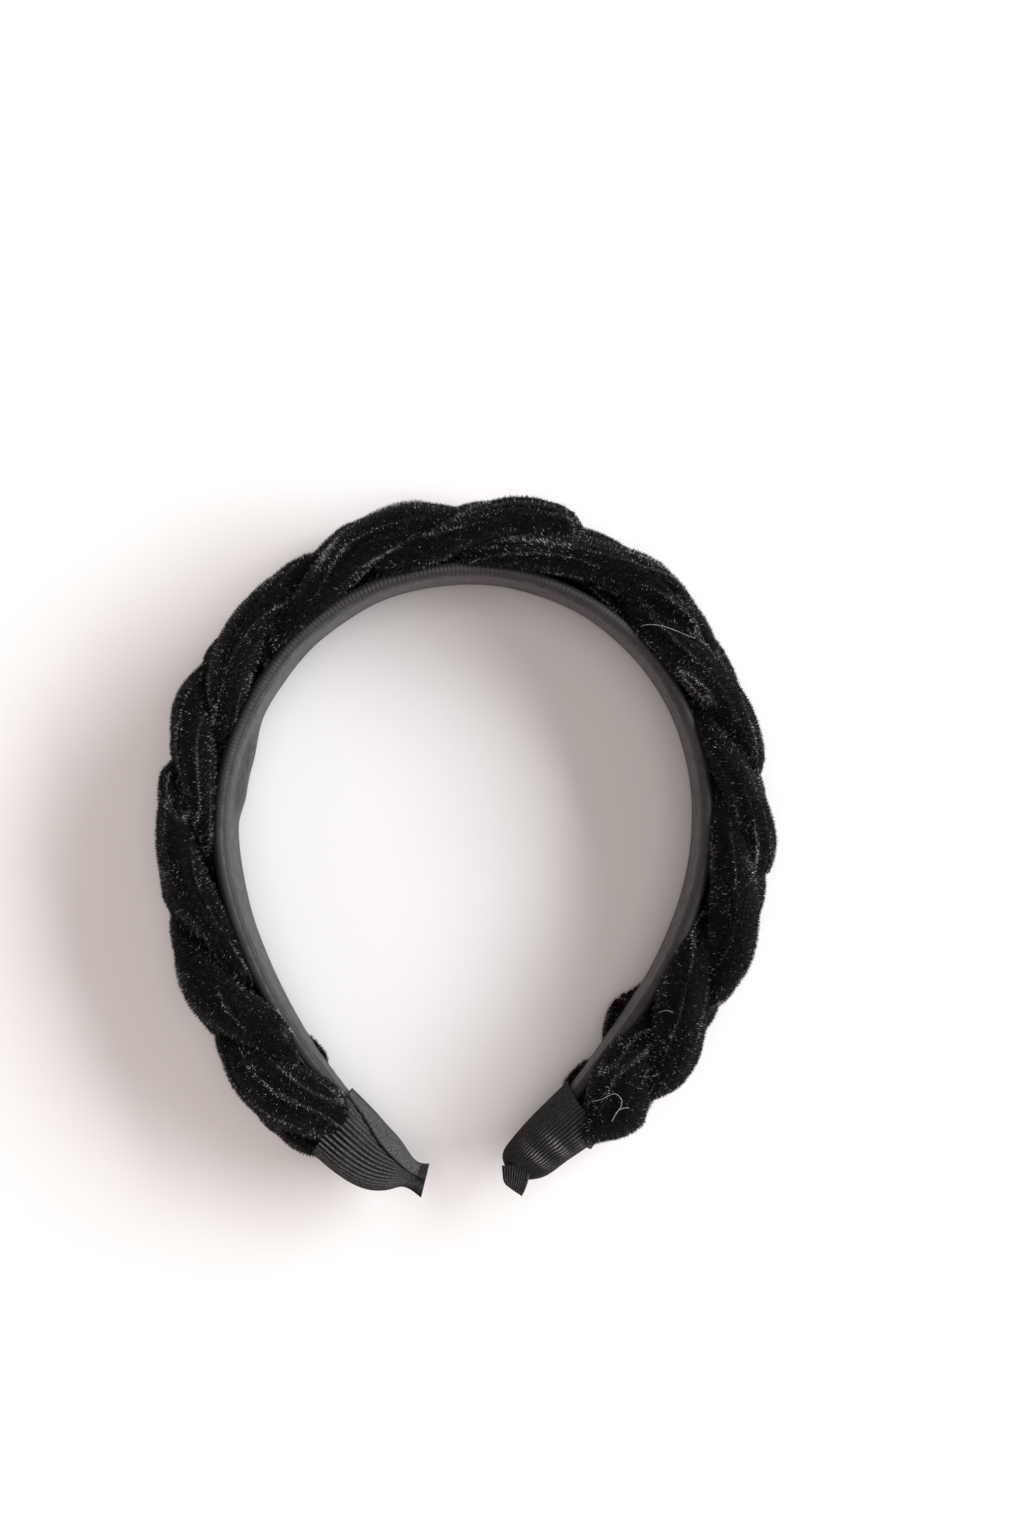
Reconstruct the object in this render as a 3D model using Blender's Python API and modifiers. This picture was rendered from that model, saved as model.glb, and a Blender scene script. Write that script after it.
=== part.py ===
"""Plaited velvet headband, lying on one edge.

Three stuffed velvet tubes are plaited and glued along a springy plastic band that sits in a
satin sleeve.  Grosgrain ribbon is wrapped round both ends and pinched off at the tips.

The head goes inside the arc.  +X is to the right and +Y points at the crown of the arc.
The band's width runs along +Z, so the lower edge of the plait rests on Z = 0.
Lengths below are in millimetres.  "Along" is the distance along the spring from the crown,
negative towards the left tip.  "Out" is the distance away from the head, measured from the
middle of the spring, and "up" is the height above or below the spring's centre line.
"""

import math

import bmesh
import bpy
import numpy as np

MM = 0.001
COLLECTION = "headband"
ORIGIN_SIZE = 20.0
SHARP_ANGLE = 50.0

# The resting line of the spring, left tip to right tip, as (x, y)
SPRING_POINTS = (
    (-13.0, -80.3),
    (-35.0, -55.8),
    (-51.5, -27.3),
    (-59.0, 4.7),
    (-51.0, 36.2),
    (-29.5, 59.7),
    (1.0, 68.2),
    (31.5, 59.7),
    (53.0, 36.2),
    (59.5, 4.2),
    (51.0, -26.8),
    (33.2, -53.8),
    (12.8, -80.3),
)
MID_HEIGHT = 16.8
LINE_SAMPLES = 2400

# Plastic spring and the satin sleeve on it
SPRING_THICKNESS = 1.2
SPRING_CORNER = 0.35
SPRING_END = 189.0
SATIN_THICKNESS = 2.6
SATIN_CORNER = 0.7
SATIN_WIDTH = 26.0
SATIN_TIP_WIDTH = 10.0
SATIN_TAPER_START = 105.0
SATIN_END = 186.0
SATIN_WALL = 0.35
BAND_STEP = 8.0

# Strip of glue that holds the plait to the sleeve
GLUE_THICKNESS = 0.4
GLUE_WIDTH = 14.0
GLUE_TO_PLAIT = 0.3
GLUE_END = 166.0

# Plait.  The upper edge shows one crossing for each turn of the hands
CROSSINGS = (-150.0, -125.5, -93.0, -70.0, -43.5, -12.5, 8.5, 46.0, 76.0, 96.5, 126.5, 153.0)
STRANDS = ("first", "second", "third")
FIRST_TURN = math.pi / 6
STRAND_SWING = 10.2
STRAND_RISE = 3.5
STRAND_MIDDLE = 7.2
EDGE_HALF_WIDTH = 7.9
EDGE_HALF_DEPTH = 7.3
CROSSING_HALF_WIDTH = 9.0
CROSSING_HALF_DEPTH = 5.6
STRAND_SHARPNESS = 6.0
STRAND_GAP = 1.5
STRAND_SIDES = 8
STRAND_END = 181.0
STRAND_STEP = 4.2
LINE_STEP = 1.5
PLAIT_INSIDE = 2.3
# How full the plait is at places along it: slimmer at the temples than at crown and ends
FULLNESS_PLACES = (-181.0, -150.0, -75.0, 0.0, 70.0, 150.0, 181.0)
FULLNESS = (1.0, 1.04, 0.88, 1.04, 0.84, 1.04, 1.0)
PLAIT_TAPER_START = 148.0
PLAIT_END_SCALE = 0.46
VELVET_WALL = 0.7
WADDING_GAP = 0.65
WADDING_END = 170.0
REACH_LIMIT = 14.0
REACH_ROUNDS = 12
NEIGHBOUR_REACH = 20.0
LEAST_SLOPE = 1e-6

# Ribbon wraps.  Each station is (inner x, y), (outer x, y), half height, all outside sizes
LEFT_WRAP = (
    ((-26.9, -61.6), (-38.1, -76.2), 14.0),
    ((-22.3, -66.8), (-31.1, -81.6), 12.5),
    ((-18.7, -70.7), (-24.1, -85.0), 10.0),
    ((-15.1, -74.8), (-18.1, -85.2), 6.6),
    ((-12.5, -78.2), (-15.1, -84.8), 2.8),
    ((-8.5, -79.4), (-10.5, -87.6), 1.2),
)
RIGHT_WRAP = (
    ((26.1, -58.4), (36.1, -72.8), 14.0),
    ((20.7, -64.2), (31.7, -76.6), 12.8),
    ((15.5, -69.4), (26.7, -80.2), 10.6),
    ((11.3, -74.2), (20.9, -83.2), 7.0),
    ((10.0, -78.4), (16.9, -83.0), 2.8),
    ((10.7, -84.2), (14.9, -87.0), 1.2),
)
RIBBON_WALL = 0.6
WRAP_ROUNDNESS = 2.6
ROUND_SIDES = 16

# Thread wound round the cut ends of the strands, inside each wrap
BINDING_ALONG = 178.0
BINDING_WIDTH = 2.4
BINDING_WALL = 0.5
BINDING_HALF_HEIGHT = 10.4
BINDING_ROUNDNESS = 4.5
BINDING_INSIDE = 1.6
BINDING_OUTSIDE = 11.5

# Dab of glue that holds each tip of the spring in its wrap
DAB_ALONG = 191.8
DAB_OUT = 1.6
DAB_HALF_SIZES = (1.8, 1.6, 2.6)
DAB_SEGMENTS = 10
DAB_RINGS = 6

VELVET = ("black_velvet", (0.006, 0.006, 0.007), 0.95)
SATIN = ("charcoal_satin", (0.030, 0.028, 0.031), 0.45)
RIBBON = ("black_grosgrain", (0.016, 0.016, 0.017), 0.70)
PLASTIC = ("grey_plastic", (0.20, 0.20, 0.21), 0.40)
WADDING = ("white_wadding", (0.78, 0.77, 0.74), 1.00)
GLUE = ("clear_glue", (0.62, 0.58, 0.46), 0.30)
THREAD = ("black_thread", (0.010, 0.010, 0.010), 0.80)


class Spline:
    """Natural cubic spline with one value, or one row of values, at each knot."""

    def __init__(self, knots, values):
        self.knots = np.asarray(knots, float)
        self.values = np.asarray(values, float).reshape(len(self.knots), -1)
        gap = np.diff(self.knots)
        slope = np.diff(self.values, axis=0) / gap[:, None]
        size = len(self.knots)
        matrix = np.eye(size)
        right = np.zeros_like(self.values)
        for i in range(1, size - 1):
            matrix[i, i - 1 : i + 2] = gap[i - 1], 2 * (gap[i - 1] + gap[i]), gap[i]
            right[i] = 6 * (slope[i] - slope[i - 1])
        self.bend = np.linalg.solve(matrix, right)

    def __call__(self, place):
        place = np.asarray(place, float)
        last = len(self.knots) - 2
        i = np.clip(np.searchsorted(self.knots, place) - 1, 0, last)
        gap = self.knots[i + 1] - self.knots[i]
        b = ((place - self.knots[i]) / gap)[..., None]
        a = 1 - b
        bow = (gap**2)[..., None] / 6
        straight = a * self.values[i] + b * self.values[i + 1]
        return straight + bow * ((a**3 - a) * self.bend[i] + (b**3 - b) * self.bend[i + 1])


class SpringLine:
    """The spring's centre line, read by distance from the crown."""

    def __init__(self, points):
        points = np.asarray(points, float)
        chord = np.concatenate([[0.0], np.cumsum(np.linalg.norm(np.diff(points, axis=0), axis=1))])
        self.points = Spline(chord, points)(np.linspace(0.0, chord[-1], LINE_SAMPLES))
        step = np.linalg.norm(np.diff(self.points, axis=0), axis=1)
        along = np.concatenate([[0.0], np.cumsum(step)])
        self.along = along - along[self.points[:, 1].argmax()]
        tangent = np.gradient(self.points, axis=0)
        tangent /= np.linalg.norm(tangent, axis=1)[:, None]
        self.outward = np.column_stack([-tangent[:, 1], tangent[:, 0]])

    def outward_at(self, along):
        x, y = (np.interp(along, self.along, self.outward[:, i]) for i in range(2))
        return np.stack([x, y, np.zeros_like(x)], axis=-1)

    def place(self, along, up, out):
        """World points at distances along the line, up from it and outwards from it."""
        along, up, out = np.broadcast_arrays(along, up, out)
        x, y = (np.interp(along, self.along, self.points[:, i]) for i in range(2))
        base = np.stack([x, y, MID_HEIGHT + up], axis=-1)
        return base + self.outward_at(along) * out[..., None]


LINE = SpringLine(SPRING_POINTS)
CROSSING_COUNT = Spline(CROSSINGS, np.arange(len(CROSSINGS)))
PLAIT_FULLNESS = Spline(FULLNESS_PLACES, FULLNESS)


def eased(value):
    """0 below 0, 1 above 1, and a smooth rise between them."""
    value = np.clip(value, 0.0, 1.0)
    return value * value * (3 - 2 * value)


def stations(end, step):
    count = math.ceil(2 * end / step)
    return np.linspace(-end, end, count + 1)


def collection_named(name):
    found = bpy.data.collections.get(name) or bpy.data.collections.new(name)
    if name not in bpy.context.scene.collection.children:
        bpy.context.scene.collection.children.link(found)
    return found


def material_for(finish):
    name, colour, roughness = finish
    material = bpy.data.materials.get(name)
    if material:
        return material
    material = bpy.data.materials.new(name)
    material.use_nodes = True
    shader = material.node_tree.nodes["Principled BSDF"]
    shader.inputs["Base Color"].default_value = (*colour, 1.0)
    shader.inputs["Roughness"].default_value = roughness
    shader.inputs["Metallic"].default_value = 0.0
    material.diffuse_color = (*colour, 1.0)
    return material


def loft(name, rings, finish, parent, capped=True):
    """A skin through the rings, with its origin at its middle.  Rings hold millimetres."""
    rings = np.asarray(rings, float) * MM
    count, sides = rings.shape[:2]
    corners = rings.reshape(-1, 3)
    middle = (corners.min(axis=0) + corners.max(axis=0)) / 2
    faces = []
    for ring in range(count - 1):
        for side in range(sides):
            here = ring * sides + side
            beside = ring * sides + (side + 1) % sides
            faces.append((here, beside, beside + sides, here + sides))
    if capped:
        faces.append(tuple(reversed(range(sides))))
        faces.append(tuple(range((count - 1) * sides, count * sides)))
    mesh = bpy.data.meshes.new(name)
    mesh.from_pydata((corners - middle).tolist(), [], faces)
    mesh.shade_smooth()
    mesh.set_sharp_from_angle(angle=math.radians(SHARP_ANGLE))
    mesh.materials.append(material_for(finish))
    part = bpy.data.objects.new(name, mesh)
    part.location = middle
    part.parent = parent
    collection_named(COLLECTION).objects.link(part)
    return part


def hollow(part, wall):
    """Gives an open skin its wall, inwards."""
    shell = part.modifiers.new("wall", "SOLIDIFY")
    shell.thickness = wall * MM
    shell.offset = -1.0
    return part


def satin_width(along):
    taper = eased((abs(along) - SATIN_TAPER_START) / (SATIN_END - SATIN_TAPER_START))
    return SATIN_WIDTH + (SATIN_TIP_WIDTH - SATIN_WIDTH) * taper


def band_ring(along, width, thickness, corner):
    """A flat bar's section with its corners cut, seen along the line."""
    half, thick = width / 2, thickness / 2
    up = [-half, -half + corner, half - corner, half, half, half - corner, -half + corner, -half]
    out = [thick - corner, thick, thick, thick - corner]
    out += [corner - thick, -thick, -thick, corner - thick]
    return LINE.place(along, up, out)


def make_spring(parent):
    trim = SATIN_THICKNESS - SPRING_THICKNESS
    places = stations(SPRING_END, BAND_STEP)
    rings = [
        band_ring(s, satin_width(s) - trim, SPRING_THICKNESS, SPRING_CORNER) for s in places
    ]
    return loft("spring_band", rings, PLASTIC, parent)


def make_satin_sleeve(parent):
    places = stations(SATIN_END, BAND_STEP)
    rings = [band_ring(s, satin_width(s), SATIN_THICKNESS, SATIN_CORNER) for s in places]
    return hollow(loft("satin_sleeve", rings, SATIN, parent, capped=False), SATIN_WALL)


def make_glue_strip(parent):
    out = PLAIT_INSIDE - GLUE_TO_PLAIT - GLUE_THICKNESS / 2
    half = GLUE_WIDTH / 2
    up = np.array([-half, half, half, -half])
    edge = np.array([1, 1, -1, -1]) * GLUE_THICKNESS / 2
    rings = [LINE.place(s, up, out + edge) for s in stations(GLUE_END, BAND_STEP)]
    return loft("glue_strip", rings, GLUE, parent)


def plait_width_scale(along):
    taper = eased((abs(along) - PLAIT_TAPER_START) / (STRAND_END - PLAIT_TAPER_START))
    return 1 + (PLAIT_END_SCALE - 1) * taper


def plait_depth_scale(along):
    return plait_width_scale(along) * PLAIT_FULLNESS(along)[..., 0]


def strand_turn(strand, along):
    """Angle of a strand in its swing: a quarter turn at the upper edge, three at the lower."""
    return FIRST_TURN + math.tau / 3 * (CROSSING_COUNT(along)[..., 0] - strand)


def strand_line(strand, along):
    """The strand's centre line as world points."""
    turn = strand_turn(strand, along)
    up = STRAND_SWING * np.sin(turn) * plait_width_scale(along)
    out = (STRAND_MIDDLE - STRAND_RISE * np.sin(2 * turn)) * plait_depth_scale(along)
    out = out + PLAIT_INSIDE
    return LINE.place(along, up, out)


def unit(vectors):
    return vectors / np.linalg.norm(vectors, axis=-1, keepdims=True)


def half_way(middle, ways, neighbours):
    """How far each direction goes before it is as near to another strand's line as to its own."""
    low = np.zeros(ways.shape[:2])
    high = np.full(ways.shape[:2], REACH_LIMIT)
    for _ in range(REACH_ROUNDS):
        reach = (low + high) / 2
        points = middle[:, None] + reach[..., None] * ways
        apart = points[:, :, None] - neighbours
        nearest = np.sqrt((apart**2).sum(axis=-1).min(axis=-1))
        free = nearest - reach > STRAND_GAP
        low = np.where(free, reach, low)
        high = np.where(free, high, reach)
    return low


def strand_rings(strand, along, inset):
    """Sections square to the strand: soft ovals, pressed flat by the strands beside them,
    by the sleeve and by the surface below."""
    middle = strand_line(strand, along)
    forward = unit(np.gradient(middle, axis=0))
    outward = LINE.outward_at(along)
    out_axis = unit(outward - (outward * forward).sum(axis=1)[:, None] * forward)
    up_axis = np.cross(forward, out_axis)
    angles = (np.arange(STRAND_SIDES) + 0.5) * math.tau / STRAND_SIDES
    ways = np.cos(angles)[:, None] * out_axis[:, None] + np.sin(angles)[:, None] * up_axis[:, None]

    crossing = np.cos(strand_turn(strand, along)) ** 2
    half_width = EDGE_HALF_WIDTH + (CROSSING_HALF_WIDTH - EDGE_HALF_WIDTH) * crossing
    half_depth = EDGE_HALF_DEPTH + (CROSSING_HALF_DEPTH - EDGE_HALF_DEPTH) * crossing
    half_width = half_width * plait_width_scale(along)
    half_depth = half_depth * plait_depth_scale(along)
    oval = np.hypot(np.cos(angles) / half_depth[:, None], np.sin(angles) / half_width[:, None])
    pressing = oval**STRAND_SHARPNESS
    nearby = np.arange(-NEIGHBOUR_REACH, NEIGHBOUR_REACH, LINE_STEP)
    near = along[:, None] + nearby
    for other in range(len(STRANDS)):
        if other != strand:
            neighbours = strand_line(other, near.ravel()).reshape(*near.shape, 3)
            pressing += half_way(middle, ways, neighbours[:, None]) ** -STRAND_SHARPNESS
    inward = np.clip(-(ways * outward[:, None]).sum(axis=-1), 0.0, None)
    room = ((middle - LINE.place(along, 0.0, PLAIT_INSIDE)) * outward).sum(axis=1)
    pressing += (inward / room[:, None]) ** STRAND_SHARPNESS
    reach = pressing ** (-1 / STRAND_SHARPNESS)
    down = np.clip(-ways[..., 2], LEAST_SLOPE, None)
    reach = np.minimum(reach, middle[:, None, 2] / down) - inset
    return middle[:, None] + reach[..., None] * ways


def make_strands(parent):
    places = stations(STRAND_END, STRAND_STEP)
    filled = places[abs(places) < WADDING_END]
    for strand, name in enumerate(STRANDS):
        skin = strand_rings(strand, places, 0.0)
        hollow(loft(f"velvet_tube_{name}", skin, VELVET, parent, capped=False), VELVET_WALL)
        core = strand_rings(strand, filled, VELVET_WALL + WADDING_GAP)
        loft(f"wadding_{name}", core, WADDING, parent)


def rounded(roundness):
    """A rounded section as factors across and up: 2 gives an oval, and more is squarer."""
    angles = np.arange(ROUND_SIDES) * math.tau / ROUND_SIDES
    across, up = np.cos(angles), np.sin(angles)
    power = 2 / roundness
    return np.sign(across) * abs(across) ** power, np.sign(up) * abs(up) ** power


def wrap_ring(inner, outer, half_height, inset=0.0):
    """A rounded section between two plan points."""
    inner, outer = np.array(inner), np.array(outer)
    across, up = rounded(WRAP_ROUNDNESS)
    half = np.linalg.norm(outer - inner) / 2
    axis = (outer - inner) / (2 * half)
    plan = (inner + outer) / 2 + np.outer(across * (half - inset), axis)
    return np.column_stack([plan, MID_HEIGHT + up * (half_height - inset)])


def make_wrap(name, wrap, flip, parent):
    """The ribbon as one bag: an outer skin, and an inner skin that stops at the throat."""
    outer = [wrap_ring(*station) for station in wrap]
    inner = [wrap_ring(*station, inset=RIBBON_WALL) for station in wrap[:-1]]
    rings = inner[::-1] + outer
    if flip:
        rings = [ring[::-1] for ring in rings]
    return loft(name, rings, RIBBON, parent)


def make_binding(name, along, parent):
    across, up = rounded(BINDING_ROUNDNESS)
    middle = (BINDING_OUTSIDE + BINDING_INSIDE) / 2
    out = middle + (BINDING_OUTSIDE - BINDING_INSIDE) / 2 * across
    edges = (along - BINDING_WIDTH / 2, along + BINDING_WIDTH / 2)
    rings = [LINE.place(edge, up * BINDING_HALF_HEIGHT, out) for edge in edges]
    return hollow(loft(name, rings, THREAD, parent, capped=False), BINDING_WALL)


def make_dab(name, along, parent):
    bulb = bmesh.new()
    bmesh.ops.create_uvsphere(bulb, u_segments=DAB_SEGMENTS, v_segments=DAB_RINGS, radius=1.0)
    bmesh.ops.scale(bulb, vec=[size * MM for size in DAB_HALF_SIZES], verts=bulb.verts)
    mesh = bpy.data.meshes.new(name)
    bulb.to_mesh(mesh)
    bulb.free()
    mesh.shade_smooth()
    mesh.materials.append(material_for(GLUE))
    part = bpy.data.objects.new(name, mesh)
    part.location = LINE.place(along, 0.0, DAB_OUT) * MM
    part.parent = parent
    collection_named(COLLECTION).objects.link(part)
    return part


def main():
    for leftover in list(bpy.data.objects):
        bpy.data.objects.remove(leftover)
    bpy.context.scene.unit_settings.system = "METRIC"
    origin = bpy.data.objects.new("headband_origin", None)
    origin.empty_display_size = ORIGIN_SIZE * MM
    collection_named(COLLECTION).objects.link(origin)
    make_spring(origin)
    make_satin_sleeve(origin)
    make_glue_strip(origin)
    make_strands(origin)
    make_binding("left_end_binding", -BINDING_ALONG, origin)
    make_binding("right_end_binding", BINDING_ALONG, origin)
    make_dab("left_tip_glue", -DAB_ALONG, origin)
    make_dab("right_tip_glue", DAB_ALONG, origin)
    make_wrap("left_ribbon_wrap", LEFT_WRAP, True, origin)
    make_wrap("right_ribbon_wrap", RIGHT_WRAP, False, origin)


main()
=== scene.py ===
"""Looks of the plaited velvet headband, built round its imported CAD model.

The plait's three velvet tubes, their pile, the satin lining, the ribbon wraps and the loose
threads are made here in millimetres, on the same spring line and plait as the CAD solids.
"Along" is the distance along the spring from the crown, negative towards the left tip, "out"
is the distance away from the head, and "up" is the height from the spring's centre line.
"""

import math

import bpy
import numpy as np
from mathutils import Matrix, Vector
from mathutils.bvhtree import BVHTree

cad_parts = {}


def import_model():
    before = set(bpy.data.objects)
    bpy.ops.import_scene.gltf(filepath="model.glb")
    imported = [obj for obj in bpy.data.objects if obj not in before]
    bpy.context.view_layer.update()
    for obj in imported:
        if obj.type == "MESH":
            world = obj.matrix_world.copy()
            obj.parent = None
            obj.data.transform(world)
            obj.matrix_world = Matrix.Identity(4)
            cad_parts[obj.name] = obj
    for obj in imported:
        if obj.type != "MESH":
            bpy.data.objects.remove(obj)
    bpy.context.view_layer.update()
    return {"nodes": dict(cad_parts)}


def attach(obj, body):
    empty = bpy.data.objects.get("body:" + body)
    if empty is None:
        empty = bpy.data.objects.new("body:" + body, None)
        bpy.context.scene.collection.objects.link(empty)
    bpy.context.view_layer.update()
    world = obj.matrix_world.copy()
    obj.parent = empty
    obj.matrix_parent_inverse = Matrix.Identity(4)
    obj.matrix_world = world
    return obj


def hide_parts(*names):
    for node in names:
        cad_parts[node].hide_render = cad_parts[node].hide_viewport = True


MM = 0.001
TURN = math.tau

# Spring line and plait, as the CAD model has them
SPRING_POINTS = (
    (-13.0, -80.3),
    (-35.0, -55.8),
    (-51.5, -27.3),
    (-59.0, 4.7),
    (-51.0, 36.2),
    (-29.5, 59.7),
    (1.0, 68.2),
    (31.5, 59.7),
    (53.0, 36.2),
    (59.5, 4.2),
    (51.0, -26.8),
    (33.2, -53.8),
    (12.8, -80.3),
)
LINE_SAMPLES = 2400
MID_HEIGHT = 16.8
CROSSINGS = (-150.0, -125.5, -93.0, -70.0, -43.5, -12.5, 8.5, 46.0, 76.0, 96.5, 126.5, 153.0)
STRANDS = ("first", "second", "third")
STRAND_SWING = 10.2
STRAND_RISE = 3.5
STRAND_MIDDLE = 7.2
STRAND_SHARPNESS = 6.0
STRAND_END = 181.0
PLAIT_INSIDE = 2.3
PLAIT_TAPER_START = 169.0
PLAIT_END_SCALE = 0.50
# How much further along a crease ends at the plait's outside than the plain weave takes it
SLANT_EXTRA = (4.0, 8.0, 13.0, 6.0, 14.0, 11.0, 18.0, 8.0, 12.0, 11.0, 6.0, 2.0)
SLANT_MIDDLE = 9.0
SLANT_DEPTH = 15.0
# How far the plait's outside stands out from, or back behind, the plain weave
TRIM_PLACES = (-185.0, -164.0, -148.0, -136.0, -122.0, -111.0, -92.0, -80.0, -60.0, -40.0, -24.0)
TRIM_PLACES += (-6.0, 8.0, 28.0, 57.0, 76.0, 108.0, 125.0, 150.0, 166.0, 175.0, 185.0)
TRIM = (0.0, 2.2, -1.2, 0.3, -2.0, 0.7, -2.3, 0.2, 0.8, -2.4, 0.4)
TRIM += (-2.1, 0.0, -0.8, 1.1, -0.7, 0.7, -0.2, -1.2, 0.3, -3.8, -3.6)
TRIM_DEPTH = 17.0
FULLNESS_PLACES = (-181.0, -150.0, -75.0, 0.0, 70.0, 150.0, 181.0)
FULLNESS = (1.0, 1.04, 0.88, 1.04, 0.84, 1.04, 1.0)
SATIN_WIDTH = 26.0
SATIN_TIP_WIDTH = 10.0
SATIN_TAPER_START = 105.0
SATIN_END = 186.0

# Velvet tubes, finer than their solids
EDGE_HALF_WIDTH = 7.9
EDGE_HALF_DEPTH = 7.3
CROSSING_HALF_WIDTH = 9.0
CROSSING_HALF_DEPTH = 5.6
TUBE_GAP = 0.1
TUBE_SIDES = 132
TUBE_STEP = 0.75
NEIGHBOUR_REACH = 20.0
NEIGHBOUR_STEP = 1.25
REACH_LIMIT = 14.0
REACH_ROUNDS = 11
VELVET_INSIDE = 2.05
STUFFING_SHARE = 0.72
STUFFING_INSET = 20
PEEK_ALONG = 152.0
PEEK_LENGTH = 9.0
PEEK_INWARD = 5.0

# Where the tubes are drawn in against the lining, at both wraps
TUCKS = (-161.0, 170.0)
TUCK_LENGTH = 10.0
TUCK_INWARD = 1.5

# Pile
PILE_COUNT = 190_000
PILE_LENGTH = 0.92
PILE_WIDTH = 0.15
PILE_ROOT = 0.1
PILE_LEAN = 0.6
PILE_JITTER = 0.28
PILE_LIFT = 0.02
PILE_FREE_HEIGHT = 0.25
PILE_SEEDS = (100, 110, 120)
# Chance that a fibre is pale, a painted glint: anywhere, more in random patches, and more on
# the ridges of folds, as a painted highlight
PAINTED_GLINT_SHARE = 0.018
GLINT_PATCH_SHARE = 0.065
RIDGE_HIGHLIGHT_SHARE = 0.80

# Satin lining
LINING_STEP = 0.28
LINING_SECTION = (  # (out, up from the edge it belongs to, which edge)
    (2.05, -1.7, 1),
    (1.55, -0.4, 1),
    (0.5, 0.0, 1),
    (-0.65, -0.45, 1),
    (-1.15, -1.5, 1),
    (-1.3, -3.2, 1),
    (-1.42, -6.5, 1),
    (-1.5, 0.0, 0),
    (-1.45, 5.0, -1),
    (-1.35, 1.4, -1),
    (-0.9, 0.2, -1),
    (-0.2, 0.0, -1),
    (1.1, 0.9, -1),
    (1.45, 3.2, -1),
    (1.35, 0.0, 0),
    (1.4, -4.6, 1),
    (1.75, -3.0, 1),
)
LINING_STEPS = 4
WIDE_HALF = 13.0
SLIM_HALF = 5.0
SLIM_OUT = 0.8
SLIM_UP = 0.4
GATHER_PITCH = 1.05
GATHER_HEIGHT = 0.10
CREASE_BELOW_EDGE = 2.7
CREASE_WIDTH = 0.5
CREASE_DEPTH = 0.32
BULGE_HEIGHT = 1.5
LINING_ROUND = 56.0

# Ribbon wraps: (inner x, y), (outer x, y), half height
LEFT_WRAP = (
    ((-28.2, -60.9), (-37.6, -75.6), 14.0),
    ((-22.3, -66.8), (-31.1, -81.2), 12.5),
    ((-18.7, -70.7), (-24.1, -85.0), 10.0),
    ((-15.1, -74.8), (-18.1, -85.2), 6.6),
    ((-12.5, -78.2), (-15.1, -84.8), 2.8),
    ((-8.5, -79.4), (-10.5, -87.6), 1.2),
)
RIGHT_WRAP = (
    ((26.3, -58.9), (35.0, -71.0), 14.0),
    ((20.7, -64.2), (30.2, -74.9), 12.8),
    ((15.5, -69.4), (25.2, -78.5), 10.6),
    ((11.3, -74.2), (20.4, -82.0), 7.0),
    ((10.0, -78.4), (16.9, -83.0), 2.8),
    ((10.9, -80.6), (15.4, -83.2), 0.8),
)
WRAP_ROUNDNESS = 2.6
WRAP_WALL = 0.5
WRAP_TURN_IN = 5.0
WRAP_RINGS = 150
WRAP_SIDES = 560
WRAP_LOOP = 720
MOUTH_RINGS = 10
WRAP_ROUND = 60.0
WRAP_LONG = 30.0
PLEATS = 54
FINE_RIBS = 150
SLOTS = 46
CLOSE_RIBS = 70

# Cut tail of the right ribbon: its left and right edges from the fold to the cut end
TAIL_LEFT = ((9.7, -78.9, 21.0), (9.9, -81.2, 20.2), (10.1, -83.0, 18.6), (10.7, -84.4, 17.2))
TAIL_RIGHT = ((17.3, -78.2, 21.6), (16.6, -81.0, 21.4), (15.9, -84.0, 20.0), (14.7, -87.0, 18.2))
TAIL_RINGS = 40
TAIL_SIDES = 90
TAIL_THICKNESS = 0.45
TAIL_RIBS = 11


# Stray threads and lint, as plan points (x, y)
LOOSE_THREADS = (
    ((42.8, 52.0), (43.1, 53.9), (47.2, 54.7), (51.4, 53.6), (55.3, 52.2), (60.7, 50.3)),
    (
        (28.2, -63.0),
        (31.0, -61.4),
        (34.2, -60.2),
        (37.4, -58.9),
        (38.8, -60.6),
        (37.6, -63.4),
        (36.4, -65.6),
    ),
    ((37.3, -63.6), (38.4, -62.6), (40.6, -62.3)),
    ((48.0, -39.6), (49.6, -38.8), (51.2, -39.2)),
)
THREAD_RADIUS = 0.07
THREAD_LIFT = 0.75
THREAD_POINTS = 60
THREAD_SLACK = 9
SKIN_HEIGHT = 25.0
LINT_COUNT = 220
LINT_LIFT = 0.6


class Spline:
    """Natural cubic spline with one value, or one row of values, at each knot."""

    def __init__(self, knots, values):
        self.knots = np.asarray(knots, float)
        self.values = np.asarray(values, float).reshape(len(self.knots), -1)
        gap = np.diff(self.knots)
        slope = np.diff(self.values, axis=0) / gap[:, None]
        size = len(self.knots)
        matrix = np.eye(size)
        right = np.zeros_like(self.values)
        for i in range(1, size - 1):
            matrix[i, i - 1 : i + 2] = gap[i - 1], 2 * (gap[i - 1] + gap[i]), gap[i]
            right[i] = 6 * (slope[i] - slope[i - 1])
        self.bend = np.linalg.solve(matrix, right)

    def __call__(self, place):
        place = np.asarray(place, float)
        last = len(self.knots) - 2
        i = np.clip(np.searchsorted(self.knots, place) - 1, 0, last)
        gap = self.knots[i + 1] - self.knots[i]
        b = ((place - self.knots[i]) / gap)[..., None]
        a = 1 - b
        bow = (gap**2)[..., None] / 6
        straight = a * self.values[i] + b * self.values[i + 1]
        return straight + bow * ((a**3 - a) * self.bend[i] + (b**3 - b) * self.bend[i + 1])


def chord_places(points):
    steps = np.linalg.norm(np.diff(np.asarray(points, float), axis=0), axis=1)
    return np.concatenate([[0.0], np.cumsum(steps)])


def smooth_path(points, count):
    """count points on a smooth curve through these."""
    chord = chord_places(points)
    return Spline(chord, points)(np.linspace(0.0, chord[-1], count))


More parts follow.
